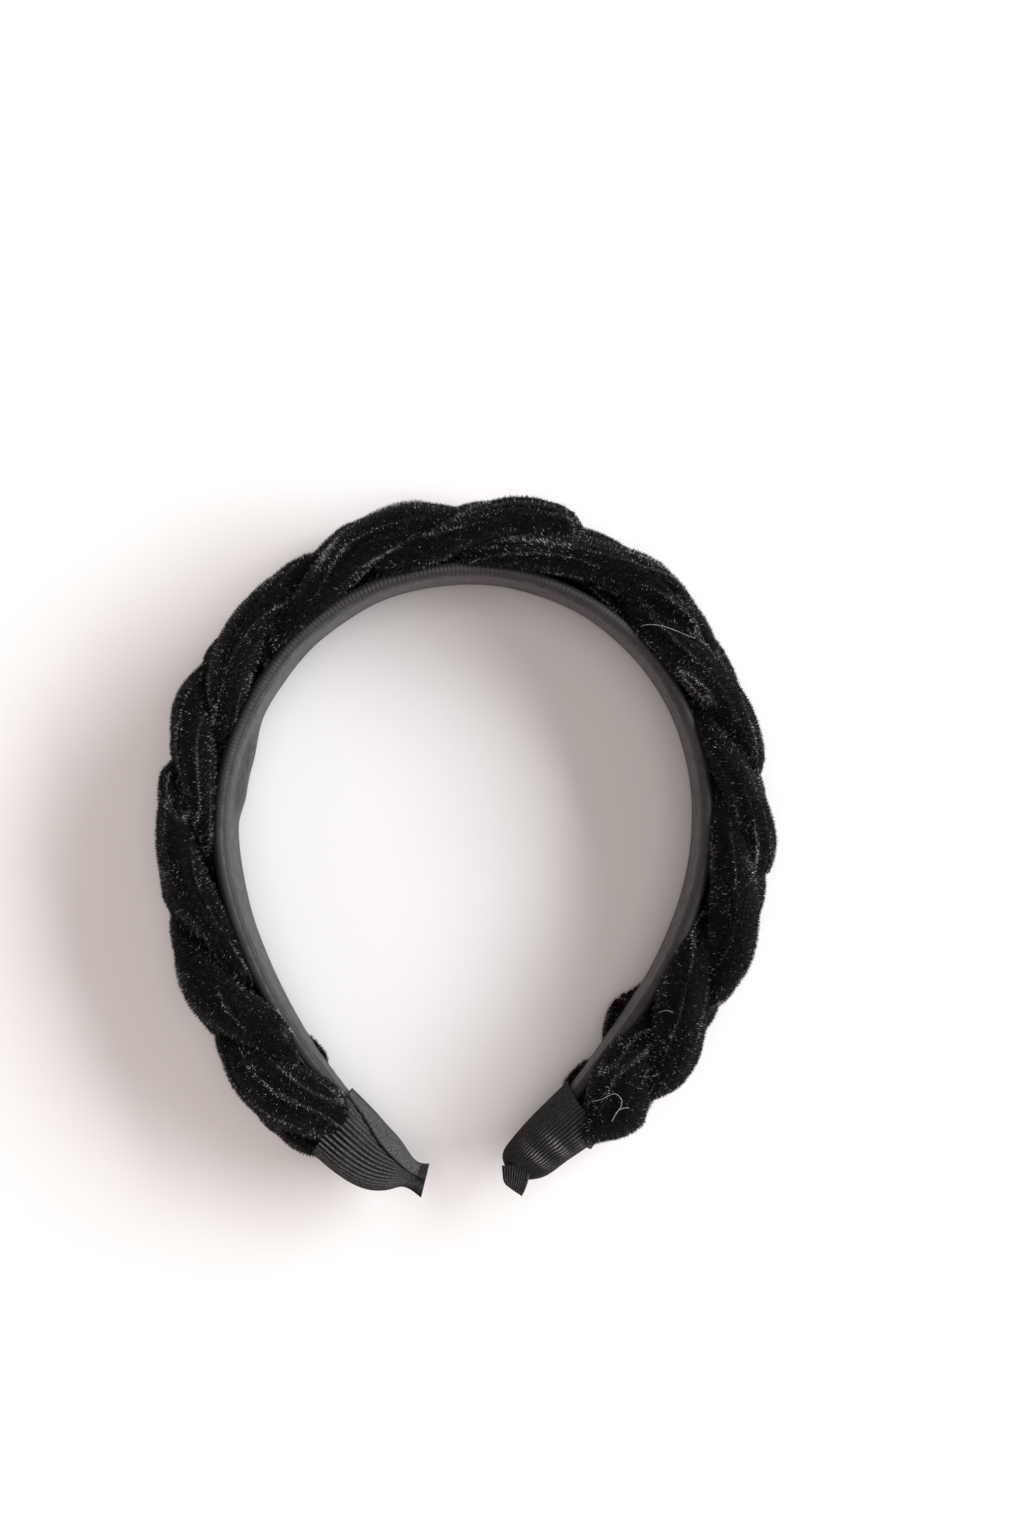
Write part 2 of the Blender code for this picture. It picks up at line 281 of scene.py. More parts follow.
class SpringLine:
    """The spring's centre line, read by distance from the crown."""

    def __init__(self, points):
        self.points = smooth_path(points, LINE_SAMPLES)
        along = chord_places(self.points)
        self.along = along - along[self.points[:, 1].argmax()]
        tangent = np.gradient(self.points, axis=0)
        tangent /= np.linalg.norm(tangent, axis=1)[:, None]
        self.outward = np.column_stack([-tangent[:, 1], tangent[:, 0]])

    def outward_at(self, along):
        x, y = (np.interp(along, self.along, self.outward[:, i]) for i in range(2))
        return np.stack([x, y, np.zeros_like(x)], axis=-1)

    def place(self, along, up, out):
        along, up, out = np.broadcast_arrays(along, up, out)
        x, y = (np.interp(along, self.along, self.points[:, i]) for i in range(2))
        base = np.stack([x, y, MID_HEIGHT + up], axis=-1)
        return base + self.outward_at(along) * out[..., None]


def slanted(points, along):
    """The points slid along the band, more the further out they are, so that the creases of
    the plait lie as flat as in a plait that was pulled tight."""
    place = np.broadcast_to(along[:, None], points.shape[:2]).copy()
    for _ in range(3):
        base = LINE.place(place, 0.0, 0.0)
        outward = LINE.outward_at(place)
        ahead = np.stack([outward[..., 1], -outward[..., 0]], axis=-1)
        place += ((points - base)[..., :2] * ahead).sum(axis=-1)
    out = ((points - LINE.place(place, 0.0, 0.0)) * LINE.outward_at(place)).sum(axis=-1)
    slid = place + SLANT(place)[..., 0] * (out - SLANT_MIDDLE) / SLANT_DEPTH
    out = out + np.interp(slid, TRIM_PLACES, TRIM) * eased(out / TRIM_DEPTH)
    return LINE.place(slid, points[..., 2] - MID_HEIGHT, out)


class Ripples:
    """A smooth random field over the places along a tube and the angles round it, with a
    spread of about 1: waves of the given turns round the tube and length along it."""

    def __init__(self, seed, turns, length, waves=14):
        rng = np.random.default_rng(seed)
        self.turns = rng.integers(turns[0], turns[1] + 1, waves)
        self.pitch = rng.normal(0.0, TURN / length, waves)
        self.phase = rng.uniform(0.0, TURN, waves)
        self.weight = rng.uniform(0.6, 1.4, waves)
        self.weight /= np.sqrt((self.weight**2).sum() / 2)

    def __call__(self, along, angle):
        total = 0.0
        for turns, pitch, phase, weight in zip(self.turns, self.pitch, self.phase, self.weight):
            total = total + weight * np.cos(turns * angle + pitch * along + phase)
        return total


LINE = SpringLine(SPRING_POINTS)
CROSSING_COUNT = Spline(CROSSINGS, np.arange(len(CROSSINGS)))
PLAIT_FULLNESS = Spline(FULLNESS_PLACES, FULLNESS)
SLANT = Spline((-185.0, *CROSSINGS, 185.0), (0.0, *SLANT_EXTRA, 0.0))


def eased(value):
    """0 below 0, 1 above 1, and a smooth rise between them."""
    value = np.clip(value, 0.0, 1.0)
    return value * value * (3 - 2 * value)


def bell(value, middle, width):
    return np.exp(-(((value - middle) / width) ** 2))


def unit(vectors):
    return vectors / np.maximum(np.linalg.norm(vectors, axis=-1, keepdims=True), 1e-12)


def satin_half(along):
    taper = eased((abs(along) - SATIN_TAPER_START) / (SATIN_END - SATIN_TAPER_START))
    return (SATIN_WIDTH + (SATIN_TIP_WIDTH - SATIN_WIDTH) * taper) / 2


# ---------------------------------------------------------------- meshes


def piece(name, points, faces, material, smooth=True):
    """A piece of the object from points in millimetres, riding on the one body."""
    mesh = bpy.data.meshes.new(name)
    faces = faces.tolist() if isinstance(faces, np.ndarray) else faces
    mesh.from_pydata((np.asarray(points) * MM).tolist(), [], faces)
    if smooth:
        mesh.shade_smooth()
    mesh.materials.append(material)
    made = bpy.data.objects.new(name, mesh)
    bpy.context.scene.collection.objects.link(made)
    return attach(made, "root")


def grid_faces(rings, sides):
    """Four-cornered faces between rings of points that each close on themselves."""
    i, j = np.meshgrid(np.arange(rings - 1), np.arange(sides), indexing="ij")
    here, beside = i * sides + j, i * sides + (j + 1) % sides
    return np.stack([here, beside, beside + sides, here + sides], axis=-1).reshape(-1, 4)


def grid_normals(points):
    """Unit normals of a closed grid of points, pointing the way its faces do."""
    padded = np.concatenate([points[:, -1:], points, points[:, :1]], axis=1)
    across = np.gradient(padded, axis=1)[:, 1:-1]
    return unit(np.cross(across, np.gradient(points, axis=0)))


def add_uv(made, rings, sides, round_mm, long_mm):
    """A UV map named weave, in millimetres round and along the grid."""
    i, j = np.meshgrid(np.arange(rings - 1), np.arange(sides), indexing="ij")
    u = np.stack([j, j + 1, j + 1, j], axis=-1) * (round_mm / sides)
    v = np.stack([i, i, i + 1, i + 1], axis=-1) * (long_mm / (rings - 1))
    layer = made.data.uv_layers.new(name="weave")
    values = np.zeros((len(made.data.loops), 2), np.float32)
    values[: u.size] = np.stack([u.ravel(), v.ravel()], axis=-1)
    layer.data.foreach_set("uv", values.ravel())


def add_value(made, name, values):
    attribute = made.data.attributes.new(name, "FLOAT", "POINT")
    attribute.data.foreach_set("value", np.asarray(values, np.float32).ravel())


# ---------------------------------------------------------------- materials


class Finish:
    """A material made of nodes, with short calls for the nodes it needs."""

    def __init__(self, name, colour, roughness, **sockets):
        self.material = bpy.data.materials.new(name)
        self.material.use_nodes = True
        self.tree = self.material.node_tree
        self.shader = self.tree.nodes["Principled BSDF"]
        self.set("Base Color", (*colour, 1.0))
        self.set("Roughness", roughness)
        for socket, value in sockets.items():
            self.set(socket.replace("_", " "), value)
        self.bumps = None

    def set(self, socket, value):
        self.shader.inputs[socket].default_value = value

    def node(self, kind, **settings):
        made = self.tree.nodes.new(kind)
        for key, value in settings.items():
            setattr(made, key, value)
        return made

    def link(self, source, target):
        self.tree.links.new(source, target)

    def noise(self, scale, detail=3.0):
        made = self.node("ShaderNodeTexNoise")
        made.inputs["Scale"].default_value = scale
        made.inputs["Detail"].default_value = detail
        self.link(self.node("ShaderNodeTexCoord").outputs["Object"], made.inputs["Vector"])
        return made.outputs["Fac"]

    def cross_threads(self, scale, distortion):
        """Bands across the length of the UV map named weave."""
        made = self.node("ShaderNodeTexWave", bands_direction="Y")
        made.inputs["Scale"].default_value = scale
        made.inputs["Distortion"].default_value = distortion
        made.inputs["Detail Scale"].default_value = 1.5
        weave = self.node("ShaderNodeUVMap", uv_map="weave").outputs["UV"]
        self.link(weave, made.inputs["Vector"])
        return made.outputs["Fac"]

    def value(self, name):
        return self.node("ShaderNodeAttribute", attribute_name=name).outputs["Fac"]

    def ramp(self, source, low, high, start=0.35, end=0.65):
        """A value or a colour that goes from low to high as source goes from start to end."""
        made = self.node("ShaderNodeMapRange", interpolation_type="SMOOTHSTEP")
        made.inputs["From Min"].default_value = start
        made.inputs["From Max"].default_value = end
        self.link(source, made.inputs["Value"])
        if isinstance(low, (int, float)):
            made.inputs["To Min"].default_value = low
            made.inputs["To Max"].default_value = high
            return made.outputs["Result"]
        return self.mixed(made.outputs["Result"], (*low, 1.0), (*high, 1.0))

    def mixed(self, share, first, second):
        made = self.node("ShaderNodeMix", data_type="RGBA")
        self.link(share, made.inputs["Factor"])
        for socket, colour in ((made.inputs[6], first), (made.inputs[7], second)):
            if isinstance(colour, tuple):
                socket.default_value = colour
            else:
                self.link(colour, socket)
        return made.outputs[2]

    def paint(self, source, socket="Base Color"):
        self.link(source, self.shader.inputs[socket])

    def bump(self, source, height_mm, strength=1.0):
        made = self.node("ShaderNodeBump")
        made.inputs["Distance"].default_value = height_mm * MM
        made.inputs["Strength"].default_value = strength
        self.link(source, made.inputs["Height"])
        if self.bumps:
            self.link(self.bumps, made.inputs["Normal"])
        self.bumps = made.outputs["Normal"]
        self.link(self.bumps, self.shader.inputs["Normal"])


def velvet_ground():
    """The cloth that the pile stands on: black, with a soft sheen, painted glint speckle
    and a painted highlight along the ridges of its folds.
    """
    finish = Finish("velvet_ground", (0.003, 0.003, 0.0033), 0.9, Sheen_Weight=0.1)
    finish.set("Sheen Roughness", 0.4)
    finish.set("Specular IOR Level", 0.1)
    finish.set("Sheen Tint", (0.55, 0.55, 0.58, 1.0))
    # Painted glint speckle: fine noise sets small lighter spots in the black.
    grain = finish.noise(1500.0, 1.0)
    glint_speckle = finish.ramp(grain, (0.0008, 0.0008, 0.0010), (0.014, 0.014, 0.015), 0.52, 0.75)
    # Along the ridges of the folds the colour is painted lighter: a painted highlight.
    finish.paint(finish.mixed(finish.value("ridge_and_painted_light"), glint_speckle, (0.030, 0.030, 0.032, 1.0)))
    finish.bump(finish.noise(2600.0, 2.0), 0.25, 0.8)
    return finish.material


def velvet_pile(name, colour, roughness):
    finish = Finish(name, colour, roughness)
    finish.set("Specular IOR Level", 0.3)
    return finish.material


def lining_satin():
    finish = Finish("charcoal_satin", (0.020, 0.019, 0.021), 0.42, Anisotropic=0.4)
    finish.set("Sheen Weight", 0.07)
    finish.set("Sheen Roughness", 0.3)
    darker, paler = (0.0128, 0.0112, 0.0138), (0.0180, 0.0158, 0.0196)
    finish.paint(finish.ramp(finish.noise(95.0), darker, paler))
    finish.paint(finish.ramp(finish.noise(420.0), 0.56, 0.70), "Roughness")
    finish.bump(finish.cross_threads(1.6, 0.6), 0.012, 0.6)
    finish.bump(finish.noise(700.0), 0.05, 0.5)
    return finish.material


def ribbon_grosgrain(name, dark, light):
    """Ribbed ribbon: cords along it from the mesh, and fine cross threads from a bump.  Its colour
    goes from dark to light with the painted light and shade that the mesh carries.
    """
    finish = Finish(name, dark, 0.55)
    finish.set("Sheen Weight", 0.03)
    finish.set("Sheen Roughness", 0.35)
    finish.set("Specular IOR Level", 0.15)
    raised = finish.mixed(finish.value("ridge_and_painted_light"), (*dark, 1.0), (*light, 1.0))
    # Sunken threads get a painted shade: at most 0.35 of the light colour.
    sunken_shade = tuple(0.35 * part for part in light)
    sunken_shade = finish.mixed(finish.value("ridge_and_painted_light"), (*dark, 1.0), (*sunken_shade, 1.0))
    threads = finish.ramp(finish.noise(2300.0, 2.0), 0.0, 1.0, 0.36, 0.60)
    finish.paint(finish.mixed(threads, sunken_shade, raised))
    finish.paint(finish.ramp(finish.noise(500.0), 0.62, 0.85), "Roughness")
    finish.bump(finish.cross_threads(0.9, 0.4), 0.06, 0.8)
    finish.bump(finish.noise(1500.0), 0.05, 0.5)
    return finish.material


def plain_fibre(name, colour, roughness, scale):
    """Wadding, thread, glue or plastic that hardly shows: grain in its colour and surface."""
    finish = Finish(name, colour, roughness)
    darker = tuple(0.8 * part for part in colour)
    finish.paint(finish.ramp(finish.noise(scale), darker, colour))
    finish.bump(finish.noise(scale * 2.0), 0.1, 0.4)
    return finish.material


# ---------------------------------------------------------------- velvet plait


def plait_width_scale(along):
    taper = eased((abs(along) - PLAIT_TAPER_START) / (STRAND_END - PLAIT_TAPER_START))
    return 1 + (PLAIT_END_SCALE - 1) * taper


def plait_depth_scale(along):
    return plait_width_scale(along) * PLAIT_FULLNESS(along)[..., 0]


def strand_turn(strand, along):
    """Angle of a strand in its swing: a quarter turn at the upper edge, three at the lower."""
    return math.pi / 6 + TURN / 3 * (CROSSING_COUNT(along)[..., 0] - strand)


def strand_line(strand, along):
    turn = strand_turn(strand, along)
    up = STRAND_SWING * np.sin(turn) * plait_width_scale(along)
    out = (STRAND_MIDDLE - STRAND_RISE * np.sin(2 * turn)) * plait_depth_scale(along)
    low = eased((-np.sin(turn) - 0.3) / 0.6)
    out = out + PLAIT_INSIDE - PEEK_INWARD * low * bell(along, PEEK_ALONG, PEEK_LENGTH)
    tucks = bell(along, TUCKS[0], TUCK_LENGTH) + bell(along, TUCKS[1], TUCK_LENGTH)
    out = out - TUCK_INWARD * tucks
    return LINE.place(along, up, out)


def half_way(middle, ways, neighbours):
    """How far each direction goes before it is as near to another strand's line as to its own."""
    low = np.zeros(ways.shape[:2])
    high = np.full(ways.shape[:2], REACH_LIMIT)
    for _ in range(REACH_ROUNDS):
        reach = (low + high) / 2
        points = middle[:, None] + reach[..., None] * ways
        apart = points[:, :, None] - neighbours
        nearest = np.sqrt(np.einsum("ijkl,ijkl->ijk", apart, apart).min(axis=-1))
        free = nearest - reach > TUBE_GAP
        low = np.where(free, reach, low)
        high = np.where(free, high, reach)
    return low


def tube_reach(strand, along, middle, ways, angles):
    """How far the stuffed tube reaches in each direction: a soft oval, pressed flat by the
    tubes beside it, by the lining and by the surface below."""
    outward = LINE.outward_at(along)
    crossing = np.cos(strand_turn(strand, along)) ** 2
    half_width = EDGE_HALF_WIDTH + (CROSSING_HALF_WIDTH - EDGE_HALF_WIDTH) * crossing
    half_depth = EDGE_HALF_DEPTH + (CROSSING_HALF_DEPTH - EDGE_HALF_DEPTH) * crossing
    half_width = half_width * plait_width_scale(along)
    half_depth = half_depth * plait_depth_scale(along)
    oval = np.hypot(np.cos(angles) / half_depth[:, None], np.sin(angles) / half_width[:, None])
    pressing = oval**STRAND_SHARPNESS
    near = np.arange(-NEIGHBOUR_REACH, NEIGHBOUR_REACH + NEIGHBOUR_STEP, NEIGHBOUR_STEP)
    near = along[:, None] + near
    for other in range(len(STRANDS)):
        if other != strand:
            neighbours = strand_line(other, near.ravel()).reshape(*near.shape, 3)
            pressing += half_way(middle, ways, neighbours[:, None]) ** -STRAND_SHARPNESS
    inward = np.clip(-(ways * outward[:, None]).sum(axis=-1), 1e-6, None)
    room = ((middle - LINE.place(along, 0.0, VELVET_INSIDE)) * outward).sum(axis=1)
    room = np.maximum(room, 1.0)[:, None]
    meets = middle[:, None, 2] - MID_HEIGHT + ways[..., 2] * room / inward
    covered = eased((satin_half(along)[:, None] + 1.0 - abs(meets)) / 2.0)
    pressing += covered * (inward / room) ** STRAND_SHARPNESS
    reach = pressing ** (-1 / STRAND_SHARPNESS)
    down = np.clip(-ways[..., 2], 1e-6, None)
    return np.minimum(reach, middle[:, None, 2] / down)


def tube_grid(strand):
    """The tube's skin with its folds: (skin, stuffing, forward, shares of the fold ridges, which
    also set the painted highlight).
    """
    along = np.linspace(-STRAND_END, STRAND_END, math.ceil(2 * STRAND_END / TUBE_STEP))
    middle = strand_line(strand, along)
    forward = unit(np.gradient(middle, axis=0))
    outward = LINE.outward_at(along)
    out_axis = unit(outward - (outward * forward).sum(axis=1)[:, None] * forward)
    up_axis = np.cross(forward, out_axis)
    angles = np.arange(TUBE_SIDES) * TURN / TUBE_SIDES
    ways = np.cos(angles)[:, None] * out_axis[:, None] + np.sin(angles)[:, None] * up_axis[:, None]
    reach = tube_reach(strand, along, middle, ways, angles)

    place, angle = along[:, None], angles[None]
    crossing = np.cos(strand_turn(strand, along))[:, None] ** 2
    creases = Ripples(11 + strand, (2, 5), 55.0)(place, angle)
    ridges = Ripples(31 + strand, (2, 5), 50.0)(place, angle)
    strength = 0.75 + 0.4 * Ripples(51 + strand, (1, 2), 35.0)(place, angle)
    puffs = Ripples(71 + strand, (1, 3), 22.0)(place, angle)
    depth = np.clip(strength, 0.1, 1.5) * (0.45 + 0.75 * crossing)
    valley = np.exp(-((creases / 0.24) ** 2))
    ridge_and_painted_light = np.exp(-((ridges / 0.12) ** 2)) * np.clip(strength - 0.2, 0.0, 1.0)
    shift = -depth * valley + 0.7 * ridge_and_painted_light * (0.4 + 0.6 * crossing) + 0.2 * puffs
    reach = reach + shift * eased(reach / 3.0)
    points = slanted(middle[:, None] + reach[..., None] * ways, along)
    points[..., 2] = np.maximum(points[..., 2], 0.0)
    core = slanted(middle[:, None] + (reach * STUFFING_SHARE)[..., None] * ways, along)
    core = core[STUFFING_INSET:-STUFFING_INSET:3, ::4]
    return points, core, forward, np.clip(ridge_and_painted_light, 0.0, 1.0)


def hidden_share(points, normals, others, reach=0.7):
    """1 where the skin is pressed against another piece, and 0 where pile has room."""
    covered = np.zeros(points.shape[:2])
    for i in range(0, len(points), 2):
        for j in range(0, points.shape[1], 2):
            start = Vector(points[i, j] + 0.02 * normals[i, j])
            way = Vector(normals[i, j])
            if any(tree.ray_cast(start, way, reach)[0] for tree in others):
                covered[i : i + 2, j : j + 2] = 1.0
    return covered


def pile_blades(points, normals, forward, free, ridge_and_painted_light, seed):
    """Thin three-cornered fibres standing in rows on the skin, leaning as the nap was brushed:
    (corners, faces, which are pale, as painted glints)."""
    rng = np.random.default_rng(seed)
    rings, sides = points.shape[:2]
    following = np.roll(points, -1, axis=1)
    area = np.linalg.norm(np.cross(following[:-1] - points[:-1], points[1:] - points[:-1]), axis=-1)
    chance = np.cumsum((area * free[:-1]).ravel())
    pick = np.searchsorted(chance, rng.uniform(0.0, chance[-1], PILE_COUNT))
    i, j = pick // sides, pick % sides
    a, b = rng.uniform(size=(2, PILE_COUNT, 1))
    row = np.floor(2 * a)
    a = (row + 0.5) / 2 + rng.normal(0.0, 0.05, a.shape)
    beside = (j + 1) % sides

    def blend(grid):
        near = grid[i, j] * (1 - b) + grid[i, beside] * b
        far = grid[i + 1, j] * (1 - b) + grid[i + 1, beside] * b
        return near * (1 - a) + far * a

    root, normal = blend(points), unit(blend(normals))
    lengthwise = unit(forward[i] - (forward[i] * normal).sum(axis=1)[:, None] * normal)
    crosswise = np.cross(normal, lengthwise)
    place, angle = i * TUBE_STEP, j * TURN / sides
    brushed = Ripples(seed + 1, (1, 3), 30.0)(place, angle)[:, None]
    swirled = Ripples(seed + 2, (1, 4), 18.0)(place, angle)[:, None]
    jitter = rng.normal(0.0, PILE_JITTER, (PILE_COUNT, 3))
    lean = PILE_LEAN * (0.4 * brushed * lengthwise + 0.3 * swirled * crosswise)
    way = unit(normal + lean + jitter)
    length = PILE_LENGTH * rng.uniform(0.6, 1.15, (PILE_COUNT, 1))
    across = unit(np.cross(way, rng.normal(size=(PILE_COUNT, 3)))) * PILE_WIDTH / 2
    root = root - normal * PILE_ROOT
    corners = np.stack([root - across, root + across, root + way * length], axis=1)
    corners[..., 2] = np.maximum(corners[..., 2], PILE_LIFT)
    # Pale fibres are painted glints, and on the fold ridges a painted highlight.
    tuft = rng.uniform(size=PILE_COUNT)
    patch = eased(0.4 + 0.6 * Ripples(seed + 3, (1, 4), 20.0)(place, angle))
    pale = tuft < PAINTED_GLINT_SHARE + GLINT_PATCH_SHARE * patch + RIDGE_HIGHLIGHT_SHARE * ridge_and_painted_light[i, j]
    return corners.reshape(-1, 3), np.arange(3 * PILE_COUNT).reshape(-1, 3), pale


def skin_tree(points):
    rings, sides = points.shape[:2]
    faces = grid_faces(rings, sides)
    return BVHTree.FromPolygons(points.reshape(-1, 3).tolist(), faces.tolist())


def make_plait(lining):
    """The three tubes and their pile.  Gives back the trees that threads are laid on."""
    ground = velvet_ground()
    stuffing = plain_fibre("white_wadding", (0.78, 0.77, 0.74), 1.0, 900.0)
    fibre = velvet_pile("velvet_pile", (0.0013, 0.0013, 0.0015), 0.45)
    # Pale fibres: painted glints in the black pile.
    painted_glint_fibre = velvet_pile("velvet_pile_painted_glint", (0.46, 0.46, 0.475), 0.4)
    grids = [tube_grid(strand) for strand in range(len(STRANDS))]
    trees = [skin_tree(grid[0]) for grid in grids]
    lining_tree = skin_tree(lining)
    for strand, name in enumerate(STRANDS):
        points, core, forward, ridge_and_painted_light = grids[strand]
        rings, sides = points.shape[:2]
        tube = piece(f"velvet_{name}", points.reshape(-1, 3), grid_faces(rings, sides), ground)
        add_value(tube, "ridge_and_painted_light", ridge_and_painted_light)
        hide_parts(f"velvet_tube_{name}")
        inside = piece(
            f"stuffing_{name}", core.reshape(-1, 3), grid_faces(*core.shape[:2]), stuffing
        )
        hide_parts(f"wadding_{name}")
        normals = grid_normals(points)
        others = [tree for other, tree in enumerate(trees) if other != strand] + [lining_tree]
        covered = hidden_share(points, normals, others)
        free = (1.0 - covered) * (points[..., 2] > PILE_FREE_HEIGHT)
        seed = PILE_SEEDS[strand]
        corners, faces, pale = pile_blades(points, normals, forward, free, ridge_and_painted_light, seed)
        pile = piece(f"velvet_pile_{name}", corners, faces, fibre, smooth=False)
        pile.data.materials.append(painted_glint_fibre)
        pile.data.polygons.foreach_set("material_index", pale.astype(np.int32))
    return [*trees, lining_tree]


# ---------------------------------------------------------------- satin lining


def closed_curve(points, steps):
    """A smooth closed curve through the points, in this many steps from each to the next."""
    points = np.asarray(points, float)
    looped = np.concatenate([points[-3:], points, points[:3]])
    chord = chord_places(looped)
    index = 3 + np.arange(len(points) * steps) / steps
    return Spline(chord, looped)(np.interp(index, np.arange(len(looped)), chord))


def lining_grid():
    """Points of the sleeve: its section, with a gathered edge, one soft crease and some slack."""
    along = np.linspace(-SATIN_END, SATIN_END, math.ceil(2 * SATIN_END / LINING_STEP))
    wide = [(out, up + edge * WIDE_HALF) for out, up, edge in LINING_SECTION]
    wide = closed_curve(wide, LINING_STEPS)
    slim = [(out * SLIM_OUT, up * SLIM_UP + edge * SLIM_HALF) for out, up, edge in LINING_SECTION]
    slim = closed_curve(slim, LINING_STEPS)
    share = ((satin_half(along) - SLIM_HALF) / (WIDE_HALF - SLIM_HALF))[:, None]
    out = slim[:, 0] + (wide[:, 0] - slim[:, 0]) * share
    up = slim[:, 1] + (wide[:, 1] - slim[:, 1]) * share
    points = LINE.place(along[:, None], up, out)
    normals = grid_normals(points)

    place = along[:, None]
    inner = eased((0.4 - out) / 1.0)
    edge = eased((up - satin_half(place) + 5.0) / 3.0)
    wander = 1.3 * Ripples(5, (0, 0), 30.0)(place, 0.0)
    gathers = np.cos(place * TURN / GATHER_PITCH + wander)
    crown = 0.30 + 0.70 * bell(place, -25.0, 60.0)
    slack = Ripples(6, (0, 1), 34.0)(place, up / 12.0)
    loose = 0.05 + 0.14 * bell(place, -80.0, 45.0)
    bulge = BULGE_HEIGHT * eased((place + 97.0) / 9.0) * eased((-66.0 - place) / 14.0)
    low = eased((2.0 - up) / 9.0)
    shift = GATHER_HEIGHT * gathers * crown * edge + loose * slack * inner * (1 - 0.6 * edge)
    crease = bell(up, satin_half(place) - CREASE_BELOW_EDGE, CREASE_WIDTH)
    crease = crease * inner * (0.10 + 0.90 * eased((30 - place) / 60))
    shift = shift + bulge * inner * low - CREASE_DEPTH * crease
    return points + normals * shift[..., None]


def make_lining():
    points = lining_grid()
    rings, sides = points.shape[:2]
    lining = piece("satin_lining", points.reshape(-1, 3), grid_faces(rings, sides), lining_satin())
    add_uv(lining, rings, sides, LINING_ROUND, 2 * SATIN_END)
    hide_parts("satin_sleeve")
    return points


# ---------------------------------------------------------------- ribbon wraps


def wrap_grid(stations, rings, sides, inset=0.0, start=0.0, end=1.0):
    """A bag of ribbon: rings from the mouth to the tip, each an even loop that starts at the
    inner side and goes over the top: (points, shares along)."""
    inner = np.array([station[0] for station in stations])
    outer = np.array([station[1] for station in stations])
    height = np.array([station[2] for station in stations])
    chord = chord_places((inner + outer) / 2)
    shape = Spline(chord, np.column_stack([inner, outer, height]))
    share = np.linspace(start, end, rings)
    rows = shape(share * chord[-1])
    angles = math.pi - np.linspace(0.0, TURN, WRAP_LOOP, endpoint=False)
    power = 2 / WRAP_ROUNDNESS
    across = np.sign(np.cos(angles)) * abs(np.cos(angles)) ** power
    up = np.sign(np.sin(angles)) * abs(np.sin(angles)) ** power
    points = np.zeros((rings, sides, 3))
    for ring, (x0, y0, x1, y1, tall) in enumerate(rows):
        middle = np.array([x0 + x1, y0 + y1]) / 2
        axis = np.array([x1 - x0, y1 - y0]) / 2
        half = np.linalg.norm(axis)
        plan = middle + np.outer(across, axis / half) * (half - inset)
        loop = np.column_stack([plan, MID_HEIGHT + up * (tall - inset)])
        loop = np.concatenate([loop, loop[:1]])
        measured = chord_places(loop)
        even = np.linspace(0.0, measured[-1], sides, endpoint=False)
        for axis_index in range(3):
            points[ring, :, axis_index] = np.interp(even, measured, loop[:, axis_index])
    return points, share


def make_wrap(name, node, stations, relief, material, turned):
    """The ribbon as one bag with a turned-in mouth.  relief gives how far its ribs, seam and
    strip stand out, and their painted light and shade."""
    skin, share = wrap_grid(stations, WRAP_RINGS, WRAP_SIDES)
    normals = grid_normals(skin)
    middle = skin.mean(axis=1, keepdims=True)
    if ((skin - middle) * normals).sum() < 0:
        normals = -normals
    around = np.arange(WRAP_SIDES)[None] / WRAP_SIDES
    stand, light = relief(share[:, None], around)
    outer = skin + normals * stand[..., None]
    depth = WRAP_TURN_IN / 30.0
    inside, _ = wrap_grid(stations, MOUTH_RINGS, WRAP_SIDES, WRAP_WALL, 0.004, depth)
    points = np.concatenate([inside[::-1], outer])
    if turned:
        points = points[:, ::-1]
        light = light[:, ::-1]
    rings, sides = points.shape[:2]
    faces = grid_faces(rings, sides).tolist()
    faces.append([(rings - 1) * sides + side for side in range(sides)])
    wrap = piece(name, points.reshape(-1, 3), faces, material)
    add_uv(wrap, rings, sides, WRAP_ROUND, WRAP_LONG)
    # Painted light and shade on the outside; the turned-in mouth rings take 0, the ribbon's dark
    # colour.
    add_value(wrap, "ridge_and_painted_light", np.concatenate([np.zeros((MOUTH_RINGS, sides)), light]))
    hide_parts(node)


def left_relief(share, around):
    """Pleats over the top, a smooth overlap along the inner side, and a slotted cut end."""
    top = bell(around, 0.25, 0.11)
    seam = 0.075 + 0.155 * share**0.85
    strip = eased((seam - around) / 0.006) + eased((around - 0.93) / 0.01)
    strip = np.clip(strip, 0.0, 1.0)
    cords = (0.5 - 0.5 * np.cos(TURN * PLEATS * around)) ** 1.5
    fine = 0.5 - 0.5 * np.cos(TURN * FINE_RIBS * around)
    fade = (1 - 0.7 * eased((share - 0.45) / 0.4)) * (1 - strip)
    waves = 0.8 + 0.2 * Ripples(41, (0, 3), 0.5)(share, around * TURN)
    pleated = np.clip(fade * waves * (0.15 + 0.95 * top), 0.0, 1.0)
    groove = bell(around, seam, 0.005) * (1 - 0.4 * share)
    slots = (0.5 - 0.5 * np.cos(TURN * SLOTS * around)) ** 2
    slots = slots * eased((share - 0.90) / 0.02) * eased((0.30 - around) / 0.03)
    stand = 0.75 * (cords - 1) * pleated - 0.55 * groove + 0.30 * strip
    stand = stand - 0.5 * slots + 0.04 * fine * (1 - pleated)
    outer = eased((around - 0.33) / 0.10)
    # Painted light and shade: the strip and the pleat cords are painted lighter, as highlights; the
    # pleat grooves, the outer side, the seam groove and the slots get painted shade, and the fine
    # ribs alternate painted light and shade.
    light = 0.30 + 0.22 * strip + 0.80 * cords * pleated - 0.32 * pleated - 0.24 * outer
    light = light + 0.20 * (fine - 0.5) * (1 - pleated) - 0.9 * groove - 0.8 * slots
    return stand, np.clip(light, 0.0, 1.0)


